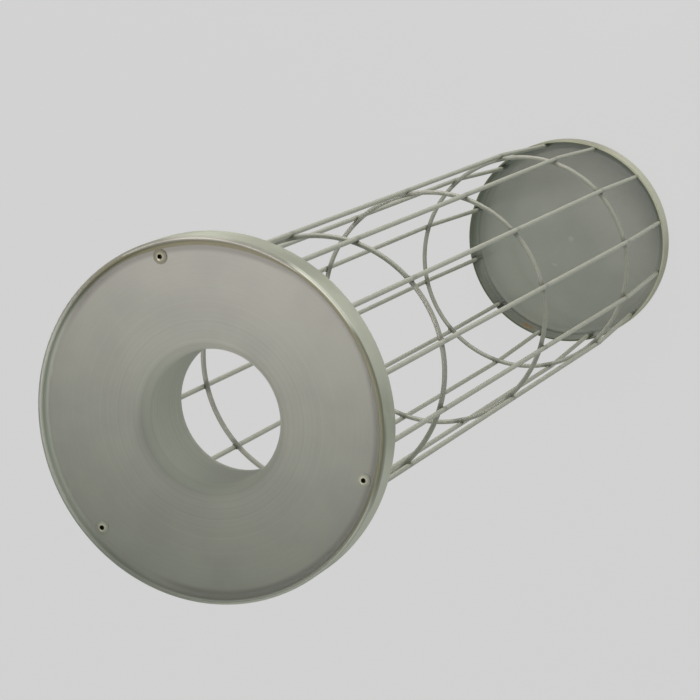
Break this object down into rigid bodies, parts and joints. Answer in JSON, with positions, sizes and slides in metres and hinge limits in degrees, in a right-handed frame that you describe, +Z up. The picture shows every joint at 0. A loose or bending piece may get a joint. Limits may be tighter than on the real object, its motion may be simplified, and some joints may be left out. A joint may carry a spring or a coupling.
{
  "type": "baghouse filter cage",
  "caption": "Round welded wire cage with a closed pan at the bottom and a riveted spun venturi at the top, which holds a filter bag open in a baghouse.",
  "frame": {"origin": "centre of the pan's underside", "axes": "+Z up along the cage's axis, from the pan to the venturi; +X through one of the rivets"},
  "size_m": [0.2, 0.2, 0.688],
  "materials": {
    "venturi": "spun sheet, satin, with fine turning lines",
    "collar": "zinc-coated sheet",
    "rivet": "plain",
    "mandrel": "dark broken steel",
    "ring": "zinc-coated wire with dark weld marks",
    "wire": "zinc-coated wire with dark weld marks",
    "pan": "zinc-coated pressed sheet"
  },
  "bodies": {
    "root": {"bottom_pan": "pan", "top_collar": "collar", "venturi": "venturi", "blind_rivets": "rivet", "rivet_mandrels": "mandrel", "ring_01": "ring", "ring_02": "ring", "ring_03": "ring", "wire_01": "wire", "wire_02": "wire", "wire_03": "wire", "wire_04": "wire", "wire_05": "wire", "wire_06": "wire", "wire_07": "wire", "wire_08": "wire", "wire_09": "wire", "wire_10": "wire", "wire_11": "wire", "wire_12": "wire"}
  },
  "joints": []
}
